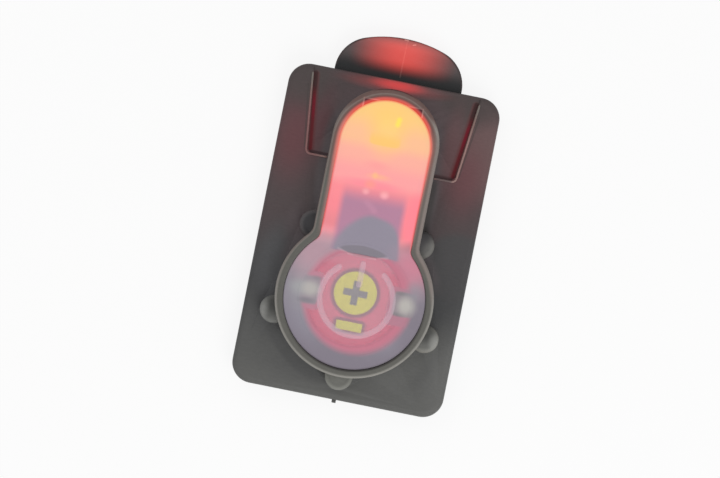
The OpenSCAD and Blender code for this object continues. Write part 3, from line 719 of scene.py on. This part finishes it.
def buildLens(p):
    bm = bmesh.new()
    rim = keyholeOutline(p["wallOut"] - p["edgeRadius"])
    loops = [(keyholeOutline(p["flangeOut"]), lensLow.z / mm),
             (keyholeOutline(p["flangeOut"]), p["flangeTop"]),
             (keyholeOutline(p["wallOut"]), p["flangeTop"])]
    for i in range(p["edgeSteps"] + 1):
        a = math.pi / 2 * i / p["edgeSteps"]
        grow = p["wallOut"] - p["edgeRadius"] * (1 - math.cos(a))
        loops.append((keyholeOutline(grow), lensTop - p["edgeRadius"] * (1 - math.sin(a))))
    loops.append((circleLike(rim, p["padHole"]), lensTop))
    loops.append((circleLike(rim, p["padHole"]), p["roof"]))
    loops.append((keyholeOutline(p["cavityOut"]), p["roof"]))
    loops.append((keyholeOutline(p["cavityOut"]), lensLow.z / mm))
    loft(bm, loops)
    return newPiece("lensSkin", bm, [milkySilicone("milkyLens", p)], "card", ["lens"])


symbol = {
    "shiftX": 0.38,
    "ringRadius": 6.95,
    "width": 1.12,
    "rise": 0.2,
    "gap": 34.5,                # degrees either side of the top that the ring leaves open
    "barLow": 2.3,
    "barHigh": 7.3,
    "ringSteps": 90,
    "barStep": 0.15,            # mm between the bar's rows of points
}


def ribbon(bm, path, width, rise, baseZ, materialIndex=0):
    # a low rounded bar along the path, in mm from the head's centre, sunk a little into its base
    sink = 0.05
    sides = 8               # facets across the bar
    fullness = 0.6          # 1 would be an elliptic section, less is squarer
    endWidth = 0.3          # square of the share of the width that is left at the ends
    along = [0]
    for (ax, ay), (bx, by) in zip(path, path[1:]):
        along.append(along[-1] + math.hypot(bx - ax, by - ay))
    rows = []
    for i, (x, y) in enumerate(path):
        sideX, sideY = sideways(path, i)
        end = min(along[i], along[-1] - along[i])
        narrow = math.sqrt(max(endWidth, 1 - max(0, 1 - end / (width / 3)) ** 2))
        row = []
        for k in range(sides + 1):
            a = math.pi * k / sides
            out = math.copysign(abs(math.cos(a)) ** fullness, math.cos(a)) * width / 2 * narrow
            up = math.sin(a) ** fullness * (rise * narrow + sink) - sink
            place = ((x + sideX * out) * mm, headY + (y + sideY * out) * mm, (baseZ + up) * mm)
            row.append(bm.verts.new(place))
        rows.append(row)
    joinRows(bm, rows, True, materialIndex)


def finePath(corners, step):
    # points at even steps of about step along straight runs, with each corner among them
    points = []
    for (ax, ay), (bx, by) in zip(corners, corners[1:]):
        count = max(2, int(math.hypot(bx - ax, by - ay) / step))
        points += [(ax + (bx - ax) * i / count, ay + (by - ay) * i / count) for i in range(count)]
    return points + [corners[-1]]


def buildPad(p, s):
    bm = bmesh.new()
    low = lensTop - p["padFlex"]
    core = circle(p["padCore"], roundSteps)
    outer = circle(p["padRadius"], roundSteps)
    loft(bm, [(core, p["roof"]), (core, low), (outer, low), (outer, lensTop)], capped=True)
    start = math.radians(90 + s["gap"])
    sweep = math.radians(360 - 2 * s["gap"])
    angles = [start + sweep * i / s["ringSteps"] for i in range(s["ringSteps"] + 1)]
    radius = s["ringRadius"]
    ring = [(s["shiftX"] + radius * math.cos(a), radius * math.sin(a)) for a in angles]
    ribbon(bm, ring, s["width"], s["rise"], lensTop, 1)
    bar = finePath([(s["shiftX"], s["barLow"]), (s["shiftX"], s["barHigh"])], s["barStep"])
    ribbon(bm, bar, s["width"], s["rise"], lensTop, 1)
    materials = [milkySilicone("milkyPad", p), milkySilicone("padMark", {**p, **padMark})]
    return newPiece("padSkin", bm, materials, "button", ["button_pad"])


padMark = {
    "colour": (228, 200, 212),
    "layers": [],
    "glow": [],
    "cover": [],
    "coverBase": 0.36,
    "rough": 0.4,
}
lensSkin = buildLens(silicone)
padSkin = buildPad(silicone, symbol)
lensSkin.visible_shadow = False
padSkin.visible_shadow = False
print("stage: lens and pad")

bead = {                        # the raised line beside each recess of the stem; its colours are the rubber's with a painted highlight, reddish where light from inside shows through
    "width": 0.4,
    "rise": 0.14,
    "step": 0.25,               # mm between its rows of points
    "weld": 1e-6,               # metres, corners of the card nearer than this are one
    "path": [(16.2, 40.8), (14.62, 26.35), (14.5, 25.9), (14.2, 25.55), (13.8, 25.42),
             (10.35, 25.4)],
    "colour": (150, 118, 112),
    "grain": 2600,
    "bump": 0.3,
    "depth": 0.04,
    "rough": 0.55,
    "speckle": 0.12,
    "layers": [
        ("spot", (-15, 30, 3, 12, 3, 0.3), (130, 90, 88), 1),
        ("along", (33, 38), (124, 98, 92), 1),
        ("along", (37, 40), (112, 104, 98), 1),
        ("spot", (12.2, 25.5, 1.6, 0.7, 4, 0.25), (98, 80, 80), 0.9),
    ],
}
knitLine = {                    # fine raised line where the mould closes on the tab
    "path": [(0.3, 43.0), (0.32, 50.1)],
    "width": 0.14,
    "rise": 0.03,
    "level": 3.2,
}


def buildCard(b, k):
    bm = bmesh.new()
    bm.from_mesh(nodes["carrier"].data)
    bmesh.ops.remove_doubles(bm, verts=bm.verts, dist=b["weld"])
    for face in bm.faces:
        face.material_index = 0
    for side in (-1, 1):
        path = finePath([(side * x, y) for x, y in b["path"]], b["step"])
        ribbon(bm, path, b["width"], b["rise"], cardTop, 1)
    ribbon(bm, finePath(k["path"], b["step"]), k["width"], k["rise"], k["level"])
    materials = [carrierRubber, finish("beadLitRubber", b)]
    made = newPiece("rubberCard", bm, materials, "card", ["carrier"])
    evenNormals(made)


buildCard(bead, knitLine)
print("stage: rubber card")

discRed = {
    "colour": (150, 120, 140),
    "grain": 2500,
    "bump": 0.1,
    "rough": 0.4,
    "speckle": 0.03,
    "patches": 0.06,
    "layers": [
        ("spot", (0, 0, 9.3, 9.3, 2, 0.09), (228, 96, 124), 1),
        ("spot", (0, 0, 7.4, 7.4, 2, 0.2), (232, 104, 126), 1),
        ("spot", (0, 1.1, 4.75, 4.75, 2, 0.07), (110, 74, 70), 0.75),
        ("spot", (0, -5.3, 3.1, 1.45, 5, 0.14), (110, 74, 70), 0.75),
    ],
}
emblemYellow = {
    "colour": (226, 222, 56),
    "grain": 2500,
    "bump": 0.05,
    "rough": 0.4,
    "speckle": 0.04,
    "patches": 0.06,
    "layers": [
        ("spot", (0, 1.1, 3.85, 3.85, 2, 0.06), (230, 224, 58), 1),
    ],
}
emblemDark = {"colour": (122, 124, 112), "grain": 2500, "bump": 0.05, "rough": 0.45,
              "speckle": 0.05}
frameLavender = {
    "colour": (136, 120, 142),
    "grain": 1800,
    "bump": 0.15,
    "rough": 0.5,
    "speckle": 0.04,
    "patches": 0.08,
    "layers": [
        ("spot", (10.2, 0, 3.0, 2.6, 4, 0.25, 1), (150, 156, 146), 0.8),
    ],
}
contactNickel = {
    "colour": (206, 200, 186),
    "grain": 1800,
    "streak": 0.2,
    "bump": 0.1,
    "rough": 0.35,
    "speckle": 0.05,
    "layers": [
        ("spot", (9.3, 0, 1.8, 1.7, 3, 0.35, 1), (226, 220, 206), 1),
    ],
}
# white solder mask and the lamp's white package, with the lamp's orange light painted on them
boardWhite = {"colour": (200, 150, 130), "grain": 1500, "bump": 0.1, "rough": 0.4, "speckle": 0.04}
ledWhite = {"colour": (235, 200, 120), "grain": 1500, "bump": 0.05, "rough": 0.35, "speckle": 0.03}
ledPhosphor = {
    "colour": (250, 200, 60),
    "grain": 1500,
    "bump": 0.05,
    "rough": 0.25,
    "speckle": 0.03,
    "glow": [("spot", (0, 33, 1.8, 1.8, 2, 0.5), (255, 170, 60), 1)],
    "glowStrength": 2,
}
blackPlastic = {"colour": (40, 40, 42), "grain": 2200, "bump": 0.3, "rough": 0.55, "speckle": 0.08}
doorPlastic = {"colour": (34, 34, 36), "grain": 1800, "bump": 0.4, "rough": 0.5, "speckle": 0.1}
chipBlack = {"colour": (52, 50, 54), "grain": 3000, "bump": 0.2, "rough": 0.5, "speckle": 0.08}
capacitorTan = {"colour": (176, 140, 104), "grain": 3000, "bump": 0.1, "rough": 0.4,
                "speckle": 0.08}
gasketGreen = {"colour": (146, 150, 136), "grain": 2200, "bump": 0.1, "rough": 0.5, "speckle": 0.05}
sealRubber = {
    "colour": (74, 76, 80),
    "grain": 2600,
    "bump": 0.2,
    "rough": 0.45,
    "speckle": 0.06,
    "steps": 32,                # points round the section
    "body": 0.96,               # the section's radius, as a share of half the height
    "line": 0.04,               # what the moulding line adds to that
    "lineStart": 0.9,           # where the line starts: 1 is its middle, inside or outside
    "lineSpan": 0.1,
}
glueFilm = {"colour": (178, 172, 154), "grain": 900, "bump": 0.3, "rough": 0.3, "speckle": 0.1,
            "draw": 0.18}       # mm that its edge is pulled in at most
cellSteel = {"colour": (210, 210, 212), "grain": 1200, "streak": 0.1, "bump": 0.15, "rough": 0.3,
             "speckle": 0.05, "shader": {"Metallic": 1.0}}
springNickel = {"colour": (214, 206, 186), "grain": 1500, "streak": 0.1, "bump": 0.1, "rough": 0.3,
                "speckle": 0.05, "shader": {"Metallic": 1.0}}
screwZinc = {"colour": (176, 178, 182), "grain": 1800, "streak": 0.15, "bump": 0.2, "rough": 0.35,
             "speckle": 0.08, "shader": {"Metallic": 1.0}}
finishes = {
    "discRed": (discRed, ["button_disc"]),
    "emblemYellow": (emblemYellow, ["emblem"]),
    "emblemDark": (emblemDark, ["emblem_bars"]),
    "frameLavender": (frameLavender, ["inner_frame"]),
    "contactNickel": (contactNickel, ["positive_contacts"]),
    "boardWhite": (boardWhite, ["circuit_board"]),
    "ledWhite": (ledWhite, ["led_package"]),
    "ledPhosphor": (ledPhosphor, ["led_dome"]),
    "blackPlastic": (blackPlastic, ["switch_body", "switch_plunger", "chassis"]),
    "doorPlastic": (doorPlastic, ["battery_door"]),
    "chipBlack": (chipBlack, ["driver_chip", "resistors"]),
    "capacitorTan": (capacitorTan, ["capacitors"]),
    "gasketGreen": (gasketGreen, ["cell_gasket"]),
    "cellSteel": (cellSteel, ["cell_can", "cell_cap"]),
    "springNickel": (springNickel, ["negative_contact", "switch_cover"]),
    "screwZinc": (screwZinc, ["chassis_screws"]),
}
for finishName, (dictionary, dressed) in finishes.items():
    material = finish(finishName, dictionary)
    for node in dressed:
        materials = nodes[node].data.materials
        materials.clear()
        materials.append(material)
print("stage: inner pieces")

snapDome = {
    "skin": 0.06,
    "steps": 16,                # rows from the foot to the crown
    "sides": 64,
    "eye": 0.02,                # share of the crown that the pinhole in its middle takes
    "inside": 0.98,             # the underside's radius as a share of the outside's
    "rim": 0.12,                # width of the flat foot
    "dimple": 0.3,              # radius of the small dip in the crown
    "dimpleDepth": 0.03,
    "travel": 0.3,              # how far the button goes down
    "clear": 0.005,
}


def buildSnapDome(p):
    # a thin dished disc, of the kind that flattens under the plunger, built in its resting shape
    low, high = [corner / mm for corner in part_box("switch_dome")]
    outer = (high.x - low.x) / 2
    height = high.z - low.z
    crown = outer - p["rim"]

    def topAt(radius):
        rise = 1 - (radius / crown) ** 2
        dip = max(0, 1 - radius / p["dimple"]) ** 2
        return low.z + p["skin"] + (height - p["skin"]) * rise - p["dimpleDepth"] * dip

    radii = [crown * (1 - i / p["steps"]) for i in range(p["steps"])] + [crown * p["eye"]]
    loops = [(circle(outer, p["sides"]), low.z), (circle(outer, p["sides"]), low.z + p["skin"])]
    loops += [(circle(radius, p["sides"]), topAt(radius)) for radius in radii]
    for radius in reversed(radii):
        loops.append((circle(radius * p["inside"], p["sides"]), topAt(radius) - p["skin"]))
    bm = bmesh.new()
    loft(bm, loops)
    nickel = finish("snapNickel", springNickel)
    made = newPiece("snapDome", bm, [nickel], "card", ["switch_dome"])
    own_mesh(made)


buildSnapDome(snapDome)
print("stage: switch dome")

tape = {
    "backing": 0.45,            # thickness of the woven backing
    "pitchX": 1.55,
    "pitchY": 1.75,
    "stemRadius": 0.13,
    "curl": 0.36,               # radius of the hook's curl
    "edgeMargin": 0.9,
    "cornerRadius": 3.0,
    "hole": 13.2,
    "stray": 0.08,              # how far a hook may stand off its place, either way
    "seed": 7,
    "root": 0.05,               # how deep a hook sits in the backing
    "curlSteps": 5,
    "curlEnd": 0.95,            # share of a half turn that the curl makes
    "taper": 0.3,               # share of its thickness that a hook loses by its tip
    "sides": 6,
    "outlineSteps": 240,
    "farthest": 80.0,           # mm, beyond any edge, where the search for the outline starts
    "halvings": 40,
    "colour": (34, 34, 37),
    "grain": 1400,
    "streak": 0.3,
    "bump": 0.6,
    "depth": 0.1,
    "rough": 0.75,
    "speckle": 0.25,
}
hookNylon = {"colour": (46, 46, 50), "grain": 2500, "bump": 0.1, "rough": 0.35, "speckle": 0.08}


def roundRectDepth(x, y, halfW, halfL, corner):
    # how deep a point lies inside a rectangle with round corners
    gapX = abs(x) - (halfW - corner)
    gapY = abs(y) - (halfL - corner)
    outside = math.hypot(max(gapX, 0), max(gapY, 0))
    return corner - outside - min(max(gapX, gapY), 0)


def sheetLoops(p, draw=0):
    # the patch's outline and hole, seen from the head's centre; draw pulls its edge in, unevenly
    low, high = tapeLow / mm, tapeHigh / mm
    halfW, halfL = (high.x - low.x) / 2, (high.y - low.y) / 2
    middle = (high.y + low.y) / 2 - headY / mm    # the tape's middle, from the head's centre
    outer = []
    for i in range(p["outlineSteps"]):
        a = 2 * math.pi * i / p["outlineSteps"]
        near, far = 0.0, p["farthest"]
        for halving in range(p["halvings"]):
            r = (near + far) / 2
            x, y = r * math.cos(a), r * math.sin(a) - middle
            inside = roundRectDepth(x, y, halfW, halfL, p["cornerRadius"]) > 0
            near, far = (r, far) if inside else (near, r)
        # an uneven wave round the edge
        near -= draw * (0.5 + 0.5 * math.sin(17 * a + 3 * math.sin(5 * a)))
        outer.append((near * math.cos(a), near * math.sin(a)))
    inner = circleLike(outer, p["hole"] + draw)
    return outer, inner, halfW, halfL, middle


def buildTape(p):
    low, high = tapeLow / mm, tapeHigh / mm
    outer, inner, halfW, halfL, middle = sheetLoops(p)
    top, under = high.z, high.z - p["backing"]
    bm = bmesh.new()
    loft(bm, [(outer, under), (outer, top), (inner, top), (inner, under)])
    random.seed(p["seed"])
    rows = int(2 * halfL / p["pitchY"])
    columns = int(2 * halfW / p["pitchX"])
    for row in range(rows):
        for column in range(columns):
            x = (column + 0.5 - columns / 2) * p["pitchX"] + random.uniform(-p["stray"], p["stray"])
            y = (row + 0.5 - rows / 2) * p["pitchY"] + random.uniform(-p["stray"], p["stray"])
            if roundRectDepth(x, y, halfW, halfL, p["cornerRadius"]) < p["edgeMargin"]:
                continue
            if math.hypot(x, y + middle) < p["hole"] + p["edgeMargin"]:
                continue
            addHook(bm, x, y + middle, under, low.z, random.choice((-1, 1)), p)
    materials = [finish("hookBacking", p), finish("hookNylon", hookNylon)]
    newPiece("hookTape", bm, materials, "card", ["hook_patch"], sharp=60)


def addHook(bm, x, y, top, low, side, p):
    # one J of stiff thread from the backing down to the tips' level
    curl, thick = p["curl"], p["stemRadius"]
    middle = low + curl + thick
    sides = p["sides"]
    spine = [(0, top + p["root"]), (0, (top + middle) / 2), (0, middle)]
    for i in range(1, p["curlSteps"] + 1):
        a = math.pi * i / p["curlSteps"] * p["curlEnd"]
        spine.append((side * curl * (1 - math.cos(a)), middle - curl * math.sin(a)))
    rows = []
    for i, (across, z) in enumerate(spine):
        sideX, sideZ = sideways(spine, i)
        r = thick * (1 - p["taper"] * i / len(spine))
        rows.append([bm.verts.new(((x + across + sideX * r * math.cos(t)) * mm,
                                   headY + (y + r * math.sin(t)) * mm,
                                   (z + sideZ * r * math.cos(t)) * mm))
                     for t in (2 * math.pi * k / sides for k in range(sides))])
    joinRows(bm, rows, True, 1)


def buildGlue(p):
    low, high = [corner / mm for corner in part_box("patch_adhesive")]
    outer, inner = sheetLoops(p, glueFilm["draw"])[:2]
    bm = bmesh.new()
    loft(bm, [(outer, low.z), (outer, high.z), (inner, high.z), (inner, low.z)])
    film = finish("glueFilm", glueFilm)
    newPiece("glueSheet", bm, [film], "card", ["patch_adhesive"])


def buildSeal(p):
    # a round ring with a faint moulding line inside and outside
    low, high = [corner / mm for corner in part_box("door_seal")]
    thick = (high.z - low.z) / 2
    wide = (high.x - low.x) / 2 - thick
    loops = []
    for i in range(p["steps"]):
        a = 2 * math.pi * i / p["steps"]
        near = max(0, abs(math.cos(a)) - p["lineStart"]) / p["lineSpan"]
        r = thick * (p["body"] + p["line"] * near)
        level = (low.z + high.z) / 2 + thick * math.sin(a)
        loops.append((circle(wide + r * math.cos(a), roundSteps), level))
    bm = bmesh.new()
    loft(bm, loops)
    newPiece("sealRing", bm, [finish("sealRubber", p)], "seal", ["door_seal"])


buildTape(tape)
buildGlue(tape)
buildSeal(sealRubber)
print("stage: hook tape, glue and seal ring")


def makeFloor(p):
    bm = bmesh.new()
    half = p["floorSize"] / 2
    corners = ((-1, -1), (1, -1), (1, 1), (-1, 1))
    bm.faces.new([bm.verts.new((x * half, y * half, 0)) for x, y in corners])
    mesh = bpy.data.meshes.new("floor")
    bm.to_mesh(mesh)
    bm.free()
    made = newObject("floor", mesh)
    made.location.z = -p["floorDrop"] * mm
    material = bpy.data.materials.new("paleFloor")
    material.use_nodes = True
    tree = material.node_tree
    tree.nodes.remove(tree.nodes["Principled BSDF"])
    matte = addNode(tree, "ShaderNodeBsdfDiffuse", {"Color": p["floorColour"]}).outputs[0]
    white = addNode(tree, "ShaderNodeEmission", {"Color": (1, 1, 1, 1), "Strength": 1}).outputs[0]
    clear = addNode(tree, "ShaderNodeBsdfTransparent").outputs[0]
    share = calc(tree, "MULTIPLY", seenPlainly(tree), p["floorGlow"])
    lit = addNode(tree, "ShaderNodeMixShader", {0: share, 1: matte, 2: white}).outputs[0]
    back = addNode(tree, "ShaderNodeNewGeometry").outputs["Backfacing"]
    both = addNode(tree, "ShaderNodeMixShader", {0: back, 1: lit, 2: clear}).outputs[0]
    tree.links.new(both, tree.nodes["Material Output"].inputs["Surface"])
    mesh.materials.append(material)
    # the room's light stands in for the floor's, so that the back is lit too
    made.visible_diffuse = False
    made.visible_shadow = False


def makeWorld(p):
    world = bpy.data.worlds.new("paleRoom")
    bpy.context.scene.world = world
    world.use_nodes = True
    tree = world.node_tree
    background = tree.nodes["Background"]
    background.inputs["Color"].default_value = (1, 1, 1, 1)
    strength = calc(tree, "MULTIPLY_ADD", seenPlainly(tree), 1 - p["ambient"], p["ambient"])
    feed(tree, background.inputs["Strength"], strength)


makeFloor(light)
makeWorld(light)
print("stage: floor and room")
